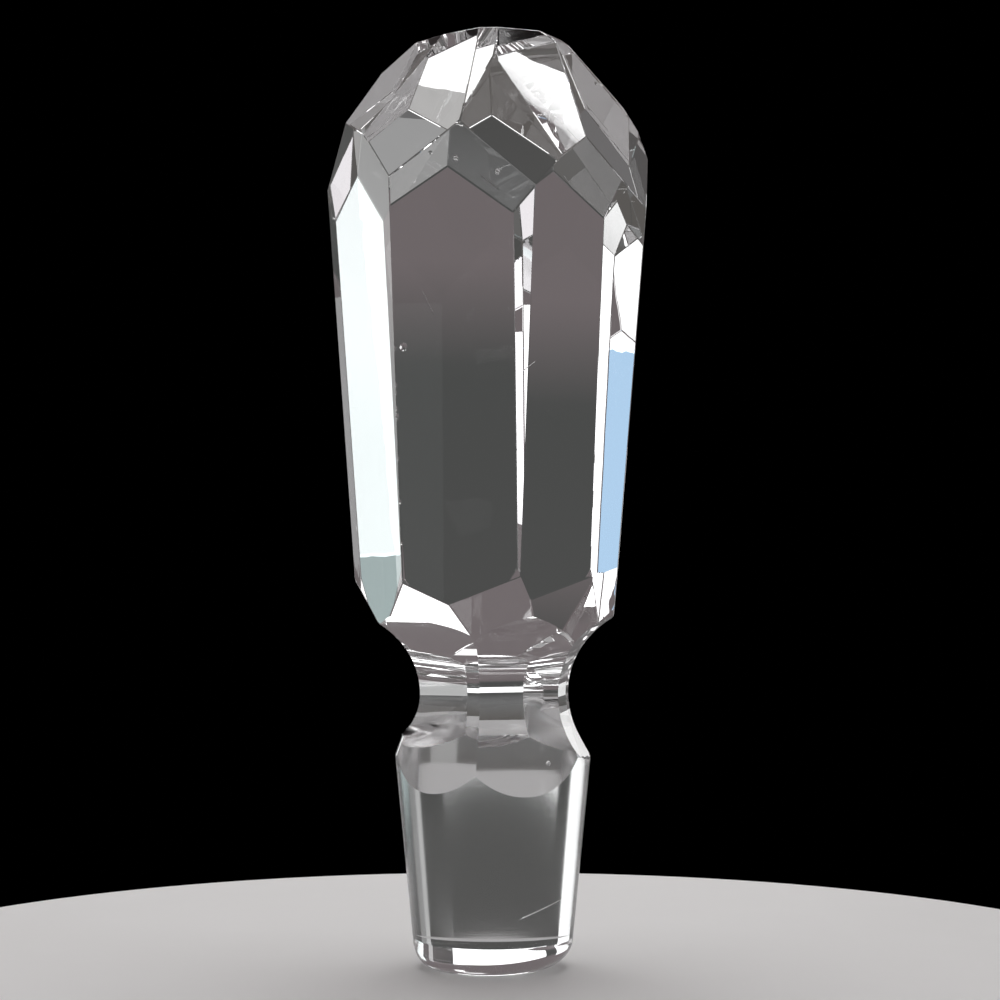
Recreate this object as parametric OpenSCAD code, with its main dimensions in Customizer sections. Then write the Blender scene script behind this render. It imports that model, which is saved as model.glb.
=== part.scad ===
// Decanter stopper, hand cut from one solid piece of clear crystal glass.
// It stands on the flat foot of its tapered plug. Above the plug is a neck that six
// flutes hollow out, and above that a seven-sided head that flares upward and ends
// in a crown of kite-shaped and pointed facets.
//
// Every facet is a flat cut. Its turn is the angle of the direction that it faces,
// from the front (-Y) towards the right (+X). Its lean is the angle that it makes
// with the upright: positive facets look up, negative ones look down.

/* [Plug] */
// Diameter that the plug's taper would have at the level of its foot
plug_foot_d = 16.4; // [15:0.1:17.5]
// Diameter of the plug at its collar, the widest part
plug_collar_d = 20.8; // [19.5:0.1:22]
// Length of the plug, from its foot to its collar
plug_h = 22.5; // [20:0.5:26]
// Radius of the rounded rim around the foot
foot_round = 3.2; // [2.5:0.1:3.8]
// Height of the cone that leads from the collar up to the neck
collar_cone_h = 2; // [1.5:0.1:2.5]
// Slope of that cone, from the upright
collar_slope = 20; // [12:1:26]

/* [Neck] */
// Height of the neck's thinnest part above the collar
neck_rise = 6.5; // [5.5:0.25:8]
// Width of the neck across its flutes, at the thinnest part
neck_flats = 14.2; // [12.5:0.1:15.5]
// Radius of the flutes above the thinnest part
flute_rise_r = 9; // [8:0.1:11]
// Turn of the first flute, the one in front on the right
flute_turn = 20.5; // [12:0.5:26]

/* [Shoulder] */
// Height above the neck's thinnest part at which its ridges run into the shoulder
shoulder_rise = 5.5; // [4.5:0.25:6.5]

/* [Head] */
// Height of the head, from the top of the neck's ridges to the table
head_h = 64; // [58:0.5:70]
// Twice the distance from the head's axis to its regular faces, halfway up the head
head_flats = 28.5; // [27:0.1:30]
// Outward flare of the faces
face_flare = 4; // [3:0.1:5]
// Turn of the head, which is the turn of its front face
head_turn = -11.5; // [-16:0.5:-7]
// Sideways offset of the head's axis from the plug's axis
head_shift = -0.65; // [-1:0.05:1]

/* [Crown] */
// Level below the table at which the kite facets' depth is measured
kite_drop = 13.5; // [11:0.5:16]
// How much less than half the head's width the kite facets leave
kite_inset = 0.55; // [0:0.05:1.1]
// Lean of the kite facets
kite_lean = 28; // [25:0.5:31]
// Level below the table at which the crown facets' depth is measured
crown_drop = 8.5; // [7:0.5:10]
// How much less than half the head's width the crown facets leave
crown_inset = 3.25; // [2.8:0.05:3.8]
// Lean of the crown facets
crown_lean = 38; // [35:0.5:41]

/* [Hidden] */

glass = [0.86, 0.90, 0.92, 0.35];
round_fn = 180;
// Angle between the points of the foot's rounded rim
rim_step = 15;
flutes = 6;
pitch = 360 / flutes;

// Hand cutting: the turn of each face from the front one, and what its flare and
// its depth have over the regular head
face_turn = [0, 55, 100.5, 145, 197, 243, 304];
face_flare_off = [-1, 0, 0.6, -1, 0.5, 1.5, -1.2];
face_depth_off = [0, 0, 1.5, -0.6, -0.4, 0.8, -0.75];

// Kites sit on the upright edges, and the first is between the first two faces
kite_turn = [25.5, 74.5, 124, 172, 221, 271, 333.5];
kite_lean_off = [-3.5, -4, 9, 0, 0, 3, 2];
kite_depth_off = [0, 0.1, 2.9, -0.6, 0, 1.2, -0.8];

// Crown facets sit round the table, mostly between the kites
crown_turn = [9, 31.5, 99, 181.5, 251.5, 321];
crown_lean_off = [-6.7, -11, 11, 8, 14, -4];
crown_depth_off = [0.65, 0.4, 0.6, -0.6, -0.75, -0.45];

// One small extra cut takes the tip off the kite on the right
tip_turn = 70.5;
tip_lean = 54;
tip_drop = 3.5;
tip_inset = 6.55;

// Shoulder facets: turn, lean, and how far outside the neck's ridges each one
// passes at the level where the ridges end
shoulder_turn = [10, 57.5, 76.5, 130, 172, 230, 282.5, 340.5];
shoulder_lean = [-27, -13, -35, -35, -20, -23, -31, -38];
shoulder_out = [0, 0.7, 0.75, 0.8, 0.2, 0, -0.1, -1];

// How far below the collar each flute runs out on the plug, and how far outside
// the regular neck its thinnest part lies
flute_run = [3.7, 0.5, 1.5, 1.5, -1.5, 3.5];
flute_out = [0, 0.45, 0, 0, 0, 0];

plug_foot_r = plug_foot_d / 2;
collar_r = plug_collar_d / 2;
neck_r = neck_flats / 2;
head_r = head_flats / 2;

neck_z = plug_h + neck_rise;
shoulder_z = neck_z + shoulder_rise;
top_z = shoulder_z + head_h;
// The depth of the faces is measured at this level
face_level = (shoulder_z + top_z) / 2;

// The round blank stays outside every cut of the head and of the neck
head_blank_r = 1.5 * head_r;
neck_blank_r = 0.88 * head_r;
// One cutting block is longer than the whole stopper, so that it clears its facet
cutter = 1.2 * top_z;

// Radius of the tapered plug at height z
function plug_r(z) = plug_foot_r + (collar_r - plug_foot_r) * z / plug_h;

// Radius of an arc that is upright at the distance r from the axis, where the neck
// is thinnest, and reaches the plug's taper at height z
function flute_low_r(r, z) =
    let (out = plug_r(z) - r, down = neck_z - z)
    (out * out + down * down) / (2 * out);

// Distance from the plug's axis to a ridge of the neck, where the ridges end
function ridge_r() =
    (neck_r + flute_rise_r - sqrt(pow(flute_rise_r, 2) - pow(shoulder_rise, 2))) / cos(pitch / 2);

// Everything outside a facet that leaves the given depth from the head's axis,
// square to the facet, at the given level
module facet_cut(turn, lean, depth, level)
    translate([head_shift, 0, level])
        rotate([0, 0, head_turn + turn])
            rotate([-lean, 0, 0])
                translate([-cutter / 2, -depth - cutter, -cutter / 2])
                    cube(cutter);

// The upright faces of the head, which flare upward
module face_cuts()
    for (i = [0 : len(face_turn) - 1])
        facet_cut(
            face_turn[i],
            -(face_flare + face_flare_off[i]),
            head_r + face_depth_off[i],
            face_level);

// The kites on the upright edges
module kite_cuts()
    for (i = [0 : len(kite_turn) - 1])
        facet_cut(
            kite_turn[i],
            kite_lean + kite_lean_off[i],
            head_r - kite_inset + kite_depth_off[i],
            top_z - kite_drop);

// The facets round the table
module crown_cuts() {
    for (i = [0 : len(crown_turn) - 1])
        facet_cut(
            crown_turn[i],
            crown_lean + crown_lean_off[i],
            head_r - crown_inset + crown_depth_off[i],
            top_z - crown_drop);
    facet_cut(tip_turn, tip_lean, head_r - tip_inset, top_z - tip_drop);
}

// The facets under the head, which slope in to the neck
module shoulder_cuts()
    for (i = [0 : len(shoulder_turn) - 1])
        facet_cut(
            shoulder_turn[i],
            shoulder_lean[i],
            (ridge_r() + shoulder_out[i]) * cos(shoulder_lean[i]),
            shoulder_z);

// The head with its flat cuts, from the neck's ridges to the table
module head()
    difference() {
        translate([head_shift, 0, shoulder_z])
            cylinder(r = head_blank_r, h = head_h, $fn = round_fn);
        face_cuts();
        kite_cuts();
        crown_cuts();
        shoulder_cuts();
    }

// The round blank of the plug and the neck, with a rounded rim at the foot
module plug_blank()
    rotate_extrude($fn = round_fn)
        polygon(concat(
            [[0, 0]],
            [for (a = [-90 : rim_step : 0])
                [
                    plug_r(foot_round) - foot_round + foot_round * cos(a),
                    foot_round + foot_round * sin(a)
                ]],
            [
                [collar_r, plug_h],
                [collar_r - collar_cone_h * tan(collar_slope), plug_h + collar_cone_h],
                [neck_blank_r, shoulder_z],
                [0, shoulder_z]
            ]));

// One half of a round cut of radius r across the neck, which leaves the distance
// left from the axis: up is 1 above the thinnest part, -1 below
module half_flute(left, r, up)
    intersection() {
        translate([0, -(left + r), neck_z])
            rotate([0, 90, 0])
                cylinder(r = r, h = cutter, center = true, $fn = round_fn);
        translate([-cutter / 2, -cutter, up > 0 ? neck_z : neck_z - cutter])
            cube(cutter);
    }

// The flutes that hollow the neck and run out on the plug
module flute_cuts()
    for (i = [0 : flutes - 1])
        let (left = neck_r + flute_out[i], foot_z = plug_h - flute_run[i])
            rotate([0, 0, flute_turn + i * pitch]) {
                half_flute(left, flute_rise_r, 1);
                half_flute(left, flute_low_r(left, foot_z), -1);
            }

// The whole stopper
module stopper()
    color(glass)
        difference() {
            union() {
                plug_blank();
                head();
            }
            flute_cuts();
        }

stopper();
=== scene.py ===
import math

import bmesh
import bpy
from mathutils import Matrix, Vector


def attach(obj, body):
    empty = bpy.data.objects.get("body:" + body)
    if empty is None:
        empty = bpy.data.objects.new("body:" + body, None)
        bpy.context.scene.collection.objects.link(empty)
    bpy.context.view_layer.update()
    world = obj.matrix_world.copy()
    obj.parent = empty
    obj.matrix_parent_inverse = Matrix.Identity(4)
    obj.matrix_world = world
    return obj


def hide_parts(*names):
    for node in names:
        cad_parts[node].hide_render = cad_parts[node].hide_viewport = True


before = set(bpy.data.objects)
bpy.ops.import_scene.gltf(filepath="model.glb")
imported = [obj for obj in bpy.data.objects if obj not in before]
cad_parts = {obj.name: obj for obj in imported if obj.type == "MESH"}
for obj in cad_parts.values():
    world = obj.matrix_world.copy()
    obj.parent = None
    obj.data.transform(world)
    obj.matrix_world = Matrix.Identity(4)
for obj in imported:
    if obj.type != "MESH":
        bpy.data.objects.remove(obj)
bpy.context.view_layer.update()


# ---- Round blank ---------------------------------------------------------------------------
# The plug, its rounded foot and the stock of the neck are one turned form in clear lead
# crystal. The plug is a plain taper, ground and then polished to fit its decanter, and the
# rim of its foot has worn a little more on the right. Sizes are in millimetres.
MM = 0.001

plug_foot_r = 8.2
collar_r = 10.4
plug_h = 22.5
foot_round = 3.2
collar_cone_h = 2.0
collar_slope = math.radians(20)
neck_z = 29.0
shoulder_z = 34.5
neck_blank_r = 12.5
foot_wear = 0.5
foot_wear_h = 3.0
turn_steps = 360
rim_step = 3
taper_rings = (7, 11, 15, 19)


def plug_r(z):
    return plug_foot_r + (collar_r - plug_foot_r) * z / plug_h


def turned(profile, steps):
    form = bmesh.new()
    points = [form.verts.new((r, 0, z)) for r, z in profile]
    edges = [form.edges.new(pair) for pair in zip(points, points[1:])]
    bmesh.ops.spin(form, geom=points + edges, axis=(0, 0, 1), cent=(0, 0, 0),
                   angle=math.tau, steps=steps, use_merge=True)
    bmesh.ops.remove_doubles(form, verts=form.verts, dist=1e-4)
    bmesh.ops.recalc_face_normals(form, faces=form.faces)
    return form


def workpiece(name, form, smooth):
    for face in form.faces:
        face.smooth = smooth
    mesh = bpy.data.meshes.new(name)
    form.to_mesh(mesh)
    form.free()
    piece = bpy.data.objects.new(name, mesh)
    bpy.context.scene.collection.objects.link(piece)
    return piece


rim_r = plug_r(foot_round) - foot_round
rim = [(rim_r + foot_round * math.cos(math.radians(a)), foot_round + foot_round * math.sin(math.radians(a)))
       for a in range(-90, 1, rim_step)]
cone_top = (collar_r - collar_cone_h * math.tan(collar_slope), plug_h + collar_cone_h)
blank_form = turned(
    [(0, 0)] + rim + [(plug_r(z), z) for z in taper_rings]
    + [(collar_r, plug_h), cone_top, (neck_blank_r, shoulder_z), (0, shoulder_z)], turn_steps)
for vert in blank_form.verts:
    if vert.co.z < foot_wear_h:
        vert.co.x -= foot_wear * (1 - vert.co.z / foot_wear_h) ** 2
stopper_glass = workpiece("stopper_glass", blank_form, True)


# ---- Head ----------------------------------------------------------------------------------
# The head is cut from the same glass with flat facets, each one ground by hand against a
# wheel and polished, which leaves a thin round arris on every edge. A facet's turn is its
# direction from the front towards the right, and its lean is how far it looks up, in degrees.
top_z = 98.5
head_turn = -11.5
head_shift = -0.65
head_r = 14.25
arris = 0.11

# Turn, lean, and how much farther from the head's axis the facet is than a regular one
upright_faces = [
    (0, -3, 0), (55, -4, 0), (100.5, -4.6, 1.5), (145, -3, -0.6),
    (197, -4.5, -0.4), (243, -5.5, 0.8), (304, -2.8, -0.75)]
kites = [
    (25.5, 24.5, 0), (74.5, 24, 0.1), (124, 37, 2.9), (172, 28, -0.6),
    (221, 28, 0), (271, 31, 1.2), (333.5, 30, -0.8)]
crown_facets = [
    (9, 31.3, 0.65), (31.5, 27, 0.4), (99, 49, 0.6),
    (181.5, 46, -0.6), (251.5, 52, -0.75), (321, 34, -0.45)]
# Turn, lean, and how far outside the neck's ridges the facet passes where they end
shoulder_facets = [
    (10, -27, 0), (57.5, -13, 0.7), (76.5, -35, 0.75), (130, -35, 0.8),
    (172, -20, 0.2), (230, -23, 0), (282.5, -31, -0.1), (340.5, -38, -1)]
# Height at which a facet's distance from the head's axis is measured, and the regular distance
face_level = (shoulder_z + top_z) / 2
kite_level, kite_depth = top_z - 13.5, head_r - 0.55
crown_level, crown_depth = top_z - 8.5, head_r - 3.25
# One small extra facet: turn, lean, height and distance
tip_cut = (70.5, 54, top_z - 3.5, head_r - 6.55)
# Distance from the plug's axis to a ridge of the neck, where the ridges end
ridge_r = 10.36
# How far the head reaches down into the neck's blank, so that the two join cleanly
overlap = 0.02

cuts = [(turn, lean, face_level, head_r + more) for turn, lean, more in upright_faces]
cuts += [(turn, lean, kite_level, kite_depth + more) for turn, lean, more in kites]
cuts += [(turn, lean, crown_level, crown_depth + more) for turn, lean, more in crown_facets]
cuts += [tip_cut]
cuts += [(turn, lean, shoulder_z, (ridge_r + out) * math.cos(math.radians(lean)))
         for turn, lean, out in shoulder_facets]

head_form = bmesh.new()
bmesh.ops.create_cube(head_form, size=2 * top_z)


def facing(turn, lean):
    a, b = math.radians(head_turn + turn), math.radians(lean)
    return Vector((math.cos(b) * math.sin(a), -math.cos(b) * math.cos(a), math.sin(b)))


def cut_flat(form, point, outward):
    cut = bmesh.ops.bisect_plane(form, geom=form.verts[:] + form.edges[:] + form.faces[:], dist=1e-6,
                                 plane_co=point, plane_no=outward, clear_outer=True)
    loop = [e for e in cut["geom_cut"] if isinstance(e, bmesh.types.BMEdge)]
    if loop:
        bmesh.ops.edgeloop_fill(form, edges=loop)


cut_flat(head_form, (0, 0, top_z), (0, 0, 1))
for turn, lean, level, depth in cuts:
    outward = facing(turn, lean)
    cut_flat(head_form, Vector((head_shift, 0, level)) + depth * outward, outward)
cut_flat(head_form, (0, 0, shoulder_z - overlap), (0, 0, -1))
bmesh.ops.remove_doubles(head_form, verts=head_form.verts, dist=1e-3)
bmesh.ops.recalc_face_normals(head_form, faces=head_form.faces)
upper = [e for e in head_form.edges if max(v.co.z for v in e.verts) > shoulder_z]
bmesh.ops.bevel(head_form, geom=upper, offset=arris, offset_type="OFFSET", segments=2, profile=0.5,
                affect="EDGES", clamp_overlap=True, material=-1)
bmesh.ops.recalc_face_normals(head_form, faces=head_form.faces)
head = workpiece("head", head_form, False)


def join_or_cut(piece, other, operation):
    step = piece.modifiers.new(operation.lower(), "BOOLEAN")
    step.operation = operation
    step.object = other
    step.solver = "EXACT"
    bpy.context.view_layer.update()
    result = bpy.data.meshes.new_from_object(piece.evaluated_get(bpy.context.evaluated_depsgraph_get()))
    piece.modifiers.clear()
    piece.data = result
    bpy.data.objects.remove(other)


join_or_cut(stopper_glass, head, "UNION")


# ---- Flutes --------------------------------------------------------------------------------
# Six hollow flutes are cut round the neck with a round wheel, so each one is upright at the
# neck's thinnest part, curves out under the head above it, and runs out on the plug below.
neck_r = 7.1
flute_rise_r = 9.0
flute_turn = 20.5
flute_pitch = 60
# How far below the collar each flute runs out, and how far outside the regular neck it lies
flutes = [(3.7, 0), (0.5, 0.45), (1.5, 0), (1.5, 0), (-1.5, 0), (3.5, 0)]
clear_of_glass = 30.0
arc_step = 1.25

for i, (run, out) in enumerate(flutes):
    left = neck_r + out
    foot_z = plug_h - run
    depth, drop = plug_r(foot_z) - left, neck_z - foot_z
    low_r = (depth ** 2 + drop ** 2) / (2 * depth)
    low_end = math.degrees(math.acos(1 - (neck_blank_r - left) / low_r))
    steps = math.ceil(low_end / arc_step)
    rise = [math.radians(arc_step * k) for k in range(round(90 / arc_step) + 1)]
    fall = [math.radians(low_end * k / steps) for k in range(1, steps + 1)]
    outline = [(-left - flute_rise_r * (1 - math.cos(t)), neck_z + flute_rise_r * math.sin(t))
               for t in reversed(rise)]
    outline += [(-left - low_r * (1 - math.cos(t)), neck_z - low_r * math.sin(t)) for t in fall]
    outline += [(-clear_of_glass, outline[-1][1]), (-clear_of_glass, outline[0][1])]
    wheel = bmesh.new()
    side = wheel.faces.new([wheel.verts.new((-clear_of_glass, y, z)) for y, z in outline])
    swept = bmesh.ops.extrude_face_region(wheel, geom=[side])
    bmesh.ops.translate(wheel, vec=(2 * clear_of_glass, 0, 0),
                        verts=[v for v in swept["geom"] if isinstance(v, bmesh.types.BMVert)])
    bmesh.ops.recalc_face_normals(wheel, faces=wheel.faces)
    bmesh.ops.rotate(wheel, verts=wheel.verts, cent=(0, 0, 0),
                     matrix=Matrix.Rotation(math.radians(flute_turn + flute_pitch * i), 3, "Z"))
    join_or_cut(stopper_glass, workpiece("wheel", wheel, True), "DIFFERENCE")


# ---- Nicks and seeds ------------------------------------------------------------------------
# Use has left small shell-shaped chips on the head, most of them along the upright edge on
# the left of the front face. The glass also holds three seeds, which are round gas bubbles
# that stayed in the melt.
# Height, radius of the shell shape and depth
edge_nicks = [(64.5, 0.30, 0.06), (60.8, 0.35, 0.05), (60.0, 0.30, 0.05), (58.4, 0.30, 0.06),
              (57.6, 0.55, 0.10), (53.3, 0.28, 0.04), (48.9, 0.40, 0.07), (44.7, 0.30, 0.05)]
# Place in x and z on the level of the front face, radius and depth
face_chips = [(-9.05, 64.65, 0.85, 0.12), (-3.5, 87.25, 0.6, 0.16), (-3.1, 86.9, 0.4, 0.10),
              (-6.3, 84.2, 0.4, 0.06)]
# Middle and radius
seeds = [((-3.6, -12.9, 83.8), 0.28), ((0.65, -13.7, 82.3), 0.3), ((5.6, -5.4, 21.8), 0.27)]
# The arris has already taken this much off the edge
edge_loss = 0.6 * arris
ball_cuts = 3
weld = 2e-4
sliver = 1e-4
smooth_below = math.radians(4)


def face_plane(turn, lean, more):
    outward = facing(turn, lean)
    return outward, Vector((head_shift, 0, face_level)) + (head_r + more) * outward


front_out, front_point = face_plane(*upright_faces[0])
left_out, left_point = face_plane(*upright_faces[-1])


def on_front(x, z):
    y = front_point.y - (front_out.x * (x - front_point.x) + front_out.z * (z - front_point.z)) / front_out.y
    return Vector((x, y, z))


def on_left_edge(z):
    run = left_out.cross(front_out)
    across = front_out.cross(run)
    meet = front_point + across * ((left_point - front_point).dot(left_out) / across.dot(left_out))
    return meet + run * ((z - meet.z) / run.z)


edge_out = (front_out + left_out).normalized()
chips = [(on_left_edge(z), edge_out, radius, deep + edge_loss) for z, radius, deep in edge_nicks]
chips += [(on_front(x, z), front_out, radius, deep) for x, z, radius, deep in face_chips]
for point, outward, radius, deep in chips:
    chip = bmesh.new()
    bmesh.ops.create_icosphere(chip, subdivisions=ball_cuts, radius=radius,
                               matrix=Matrix.Translation(point + outward * (radius - deep)))
    join_or_cut(stopper_glass, workpiece("chip", chip, True), "DIFFERENCE")

form = bmesh.new()
form.from_mesh(stopper_glass.data)
bmesh.ops.remove_doubles(form, verts=form.verts, dist=weld)
bmesh.ops.dissolve_degenerate(form, edges=form.edges, dist=sliver)
for edge in form.edges:
    edge.smooth = edge.calc_face_angle(0) < smooth_below
# A seed is a cavity, so its wall faces its own middle
for middle, radius in seeds:
    bubble = bmesh.ops.create_icosphere(form, subdivisions=ball_cuts, radius=radius,
                                        matrix=Matrix.Translation(middle))
    wall = list({face for vert in bubble["verts"] for face in vert.link_faces})
    bmesh.ops.reverse_faces(form, faces=wall)
    for face in wall:
        face.smooth = True
bmesh.ops.scale(form, verts=form.verts, vec=(MM, MM, MM))
form.to_mesh(stopper_glass.data)
form.free()
stopper_glass.data.name = "stopper_glass"


# ---- Crystal finish -------------------------------------------------------------------------
# The glass is clear lead crystal, polished with felt, which leaves a soft wave on the facets.
# The plug is ground to its taper, so it keeps a faint haze with fine rings round it, and use
# has added hairline scratches.
class Wire:
    """One shader socket. Arithmetic on it adds Math nodes to its tree."""

    def __init__(self, tree, out=None):
        self.tree, self.out = tree, out

    def node(self, kind, settings={}, sockets={}, pick=0):
        made = self.tree.nodes.new(kind)
        for name, value in settings.items():
            if name == "stops":
                while len(made.color_ramp.elements) < len(value):
                    made.color_ramp.elements.new(0.5)
                for element, (place, colour) in zip(made.color_ramp.elements, value):
                    element.position, element.color = place, (*colour, 1)
            else:
                setattr(made, name, value)
        for name, value in sockets.items():
            if isinstance(value, Wire):
                self.tree.links.new(value.out, made.inputs[name])
            else:
                made.inputs[name].default_value = value
        return Wire(self.tree, made.outputs[pick] if made.outputs else None)

    def other(self, name):
        return Wire(self.tree, self.out.node.outputs[name])

    def maths(self, operation, *values):
        return self.node("ShaderNodeMath", {"operation": operation}, dict(enumerate(values)))

    def over(self, low, high):
        return self.node("ShaderNodeMapRange", {"interpolation_type": "SMOOTHSTEP"},
                         {"Value": self, "From Min": low, "From Max": high})

    def __add__(self, other):
        return self.maths("ADD", self, other)

    __radd__ = __add__

    def __sub__(self, other):
        return self.maths("SUBTRACT", self, other)

    def __rsub__(self, other):
        return self.maths("SUBTRACT", other, self)

    def __mul__(self, other):
        return self.maths("MULTIPLY", self, other)

    __rmul__ = __mul__

    def __truediv__(self, other):
        return self.maths("DIVIDE", self, other)

    def __pow__(self, other):
        return self.maths("POWER", self, other)

    def __abs__(self):
        return self.maths("ABSOLUTE", self)


def finish(name):
    made = bpy.data.materials.new(name)
    made.use_nodes = True
    made.node_tree.nodes.clear()
    return made, Wire(made.node_tree)


bends_light = 1.545
bounces = 24
felt_gloss = 0.004
haze = 0.1
haze_in_rings = 0.05
scratch_haze = 0.35
# Heights of the surface marks, in millimetres
felt_wave = 0.002
ring_height = 0.0012
scratch_depth = 0.03
# Start and end in x and z on the front of the glass, and the width
hairlines = [((2.6, 6.2), (7.4, 8.0), 0.07), ((-1.3, 81.8), (0.8, 80.1), 0.05),
             ((-7.2, 70.5), (-5.9, 67.8), 0.04), ((3.1, 62.0), (4.4, 63.1), 0.04)]

crystal, glass = finish("crystal")
where = glass.node("ShaderNodeTexCoord", pick="Object")
apart = glass.node("ShaderNodeSeparateXYZ", sockets={"Vector": where})
x, y, z = apart.other("X") / MM, apart.other("Y") / MM, apart.other("Z") / MM

from_axis = (x * x + y * y) ** 0.5
# Only the taper itself is ground: the flutes that run out on it are polished
ground = (from_axis - plug_r(z)).over(-0.08, -0.03) * z.over(2.6, 5.0) * (1 - z.over(22.3, 22.6))
rings = glass.node("ShaderNodeTexNoise", {"noise_dimensions": "3D"}, {
    "Vector": glass.node("ShaderNodeMapping", sockets={"Vector": where, "Scale": (90, 90, 5200)}),
    "Scale": 1.0, "Detail": 3.0})
felt = glass.node("ShaderNodeTexNoise", sockets={"Vector": where, "Scale": 260.0, "Detail": 1.0})
cloud = glass.node("ShaderNodeTexNoise", sockets={"Vector": where, "Scale": 45.0, "Detail": 2.0})


def hairline(start, end, width):
    (x0, z0), (x1, z1) = start, end
    long = math.hypot(x1 - x0, z1 - z0)
    along = ((x - x0) * ((x1 - x0) / long) + (z - z0) * ((z1 - z0) / long)) / long
    aside = abs((x - x0) * ((z1 - z0) / long) - (z - z0) * ((x1 - x0) / long))
    return (1 - aside.over(0, width)) * along.over(0, 0.2) * (1 - along.over(0.8, 1)) * (1 - y.over(-0.5, 0.5))


scratches = hairline(*hairlines[0])
for line in hairlines[1:]:
    scratches = scratches.maths("MAXIMUM", scratches, hairline(*line))

tint = glass.node("ShaderNodeMix", {"data_type": "RGBA"}, {
    "Factor": cloud, "A": (0.985, 0.995, 1, 1), "B": (1, 1, 0.998, 1)}, pick="Result")
polish = felt_gloss * felt + ground * (haze + haze_in_rings * rings) + scratch_haze * scratches
relief = glass.node("ShaderNodeBump", sockets={
    "Height": felt_wave * felt + ring_height * ground * rings - scratch_depth * scratches,
    "Strength": 1.0, "Distance": MM})
body = glass.node("ShaderNodeBsdfPrincipled", sockets={
    "Base Color": tint, "Roughness": polish, "Normal": relief,
    "IOR": bends_light, "Transmission Weight": 1.0})
glass.node("ShaderNodeOutputMaterial", sockets={"Surface": body})

# Light is thrown to and fro between the facets many times before it leaves the glass
bpy.context.scene.cycles.max_bounces = bounces
bpy.context.scene.cycles.glossy_bounces = bounces
bpy.context.scene.cycles.transmission_bounces = bounces

stopper_glass.data.materials.clear()
stopper_glass.data.materials.append(crystal)
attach(stopper_glass, "root")
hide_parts("stopper")


# ---- Floor ---------------------------------------------------------------------------------
# The stopper stands on a round board with a smooth, pale, matt coat of paint. The glass sees
# the board a little darker than the camera does, so that clear facets stay dark.
board_r = 0.075
board_h = 0.01
matt = 0.55

board_form = bmesh.new()
bmesh.ops.create_cone(board_form, cap_ends=True, segments=128, radius1=board_r, radius2=board_r, depth=board_h,
                      matrix=Matrix.Translation((0, 0, -board_h / 2)))
floor = workpiece("floor", board_form, False)

pale, paint = finish("pale_paint")
mottle = paint.node("ShaderNodeTexNoise", sockets={
    "Vector": paint.node("ShaderNodeTexCoord", pick="Object"), "Scale": 140.0, "Detail": 4.0})
seen = paint.node("ShaderNodeBsdfPrincipled", sockets={
    "Base Color": paint.node("ShaderNodeMix", {"data_type": "RGBA"}, {
        "Factor": mottle, "A": (0.79, 0.79, 0.78, 1), "B": (0.81, 0.81, 0.80, 1)}, pick="Result"),
    "Roughness": matt + 0.1 * mottle,
    "Normal": paint.node("ShaderNodeBump", sockets={"Height": mottle, "Strength": 0.2, "Distance": 0.0002})})
around = paint.node("ShaderNodeBsdfDiffuse", sockets={"Color": (0.55, 0.55, 0.55, 1)})
paint.node("ShaderNodeOutputMaterial", sockets={"Surface": paint.node("ShaderNodeMixShader", sockets={
    0: paint.node("ShaderNodeLightPath", pick="Is Camera Ray"), 1: around, 2: seen})})
floor.data.materials.append(pale)


# ---- Light and backdrop ---------------------------------------------------------------------
# Soft boxes and white cards stand round the stopper in a dark room, one metre away, and each
# one shows in the facets that turn towards it. A large box overhead lights the board, and a
# low strip behind the stopper lights the foot of the plug.
room_centre = Vector((0, 0, 0.05))
away = 1.0
white = (1, 1, 1)
rose = (1, 0.96, 1)


def soft_box(name, place, aim, width, height, radiance, tint=white):
    lamp = bpy.data.lights.new(name, "AREA")
    lamp.shape = "RECTANGLE"
    lamp.size = width
    lamp.size_y = height
    lamp.energy = radiance * width * height * math.pi
    lamp.color = tint
    box = bpy.data.objects.new(name, lamp)
    box.location = place
    box.rotation_euler = (Vector(aim) - Vector(place)).to_track_quat("-Z", "Y").to_euler()
    bpy.context.scene.collection.objects.link(box)
    box.visible_camera = False


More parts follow.
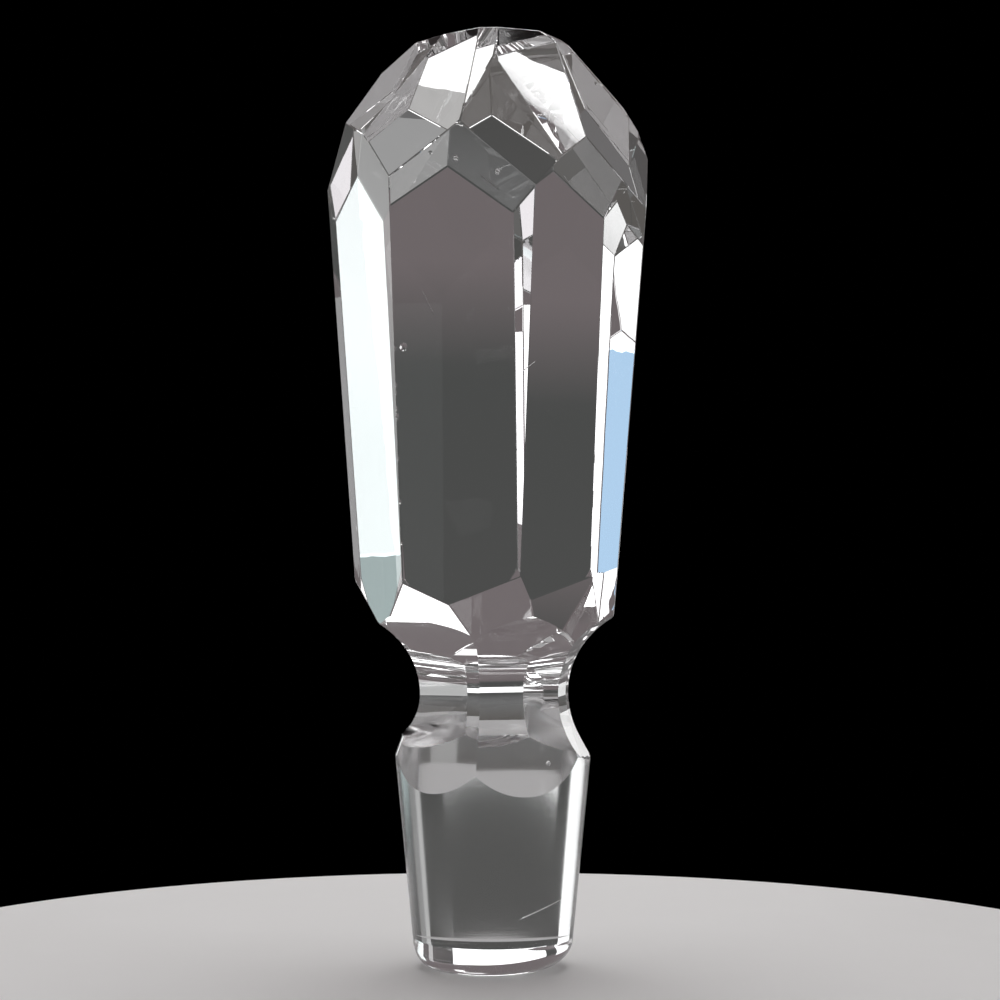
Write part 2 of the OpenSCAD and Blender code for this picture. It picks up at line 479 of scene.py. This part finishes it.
# Direction in degrees from the back towards the right, height in degrees, width and height
# as the stopper sees them in degrees, radiance and colour
for name, az, el, width, height, radiance, tint in [
        ("right_back_box", 60, 13, 14, 13, 1.3, (0.93, 1, 1)),
        ("right_back_skirt", 60, 4.2, 14, 4.8, 0.5, (0.8, 1, 1)),
        ("right_back_low_box", 48, 0, 8, 14, 0.2, white),
        ("right_back_floor_card", 27, -12, 14, 14, 0.2, white),
        ("neck_rim_card", 41.5, 4, 5, 20, 0.45, white),
        ("neck_band_card", 12, 35, 12, 6, 1.0, white),
        ("left_back_box", -54, 2, 22, 20, 1.3, white),
        ("right_box", 84, 8, 8, 12, 1.6, white),
        ("right_side_card", 113, 20, 6, 12, 1.0, white),
        ("cool_box", 104, 32, 5, 8, 0.8, (0.40, 0.70, 1)),
        ("cool_box_top", 103, 37.6, 7, 3.4, 1.4, white),
        ("cool_box_frame", 98.8, 35.5, 3.4, 7, 1.4, white),
        ("front_right_box", 167, 28, 6, 6.5, 1.6, (1, 0.97, 1)),
        ("front_side_box", 151.5, 30, 4.5, 6.5, 1.6, white),
        ("front_side_low_box", 146, 1.5, 5, 6, 1.4, rose),
        ("front_side_mid_box", 147, 21, 5, 11, 0.25, (0.93, 1, 1)),
        ("front_left_box", -123, 18.5, 8, 13, 1.6, white),
        ("front_left_low_box", -134, -13, 10, 6, 1.4, (1, 0.97, 1)),
        ("front_left_card", -151.5, -7, 4, 6, 1.3, white),
        ("front_low_card", -174, -22, 8, 6, 0.9, rose),
        ("small_back_box", 20, 27.2, 6, 6.5, 1.6, white),
        ("low_back_card_right", 7.7, -28.3, 9.5, 2.2, 1.3, white),
        ("low_back_card_left", -16, -29.5, 8, 3, 1.3, white),
        ("low_back_card_under", 7.7, -31.2, 9.5, 3.6, 0.4, white),
        ("low_left_card", -39, -36.5, 18, 9, 2.2, white)]:
    az, el = math.radians(az), math.radians(el)
    way = Vector((math.sin(az) * math.cos(el), math.cos(az) * math.cos(el), math.sin(el)))
    soft_box(name, room_centre + away * way, room_centre, 2 * away * math.tan(math.radians(width / 2)),
             2 * away * math.tan(math.radians(height / 2)), radiance, tint)
soft_box("top_box", (0, 0.15, 0.65), room_centre, 0.5, 0.5, 3.5)
soft_box("foot_strip", (-0.022, 0.2, 0.036), (-0.022, 0, 0.036), 0.195, 0.02, 1.4)

# Height in degrees above the horizon, and the colour of the dark room there
room_tones = [(-20, (0.105, 0.098, 0.092)), (-8, (0.15, 0.15, 0.15)), (-5, (0.12, 0.12, 0.12)),
              (-3, (0.075, 0.075, 0.073)), (0, (0.065, 0.066, 0.064)), (9.8, (0.065, 0.068, 0.066)),
              (12.5, (0.160, 0.138, 0.142))]
dark_room = bpy.data.worlds.new("dark_room")
bpy.context.scene.world = dark_room
dark_room.use_nodes = True
dark_room.node_tree.nodes.clear()
room = Wire(dark_room.node_tree)
look = room.node("ShaderNodeTexCoord", pick="Generated")
rise = room.node("ShaderNodeSeparateXYZ", sockets={"Vector": look}).other("Z")
tone = room.node("ShaderNodeValToRGB", {"stops": [
    (0.5 + 0.5 * math.sin(math.radians(height)), colour) for height, colour in room_tones]},
    {"Fac": 0.5 + 0.5 * rise})
shown = room.node("ShaderNodeMix", {"data_type": "RGBA"}, {
    "Factor": room.node("ShaderNodeLightPath", pick="Is Camera Ray"), "A": tone, "B": (0, 0, 0, 1)},
    pick="Result")
room.node("ShaderNodeOutputWorld", sockets={
    "Surface": room.node("ShaderNodeBackground", sockets={"Color": shown, "Strength": 1.0})})


# ---- Camera --------------------------------------------------------------------------------
# The camera stands close in front, a little under the middle of the stopper, and looks up by
# two degrees. Everything is in focus.
camera_place = (0.00075, -0.235, 0.041)
looks_up = 2.09
focal_length = 79.1
sensor = 36
nearest = 0.005

lens = bpy.data.cameras.new("camera")
lens.sensor_width = sensor
lens.lens = focal_length
lens.clip_start = nearest
camera = bpy.data.objects.new("camera", lens)
camera.location = camera_place
camera.rotation_euler = (math.radians(90 + looks_up), 0, 0)
bpy.context.scene.collection.objects.link(camera)
bpy.context.scene.camera = camera
bpy.context.scene.view_settings.view_transform = "Standard"
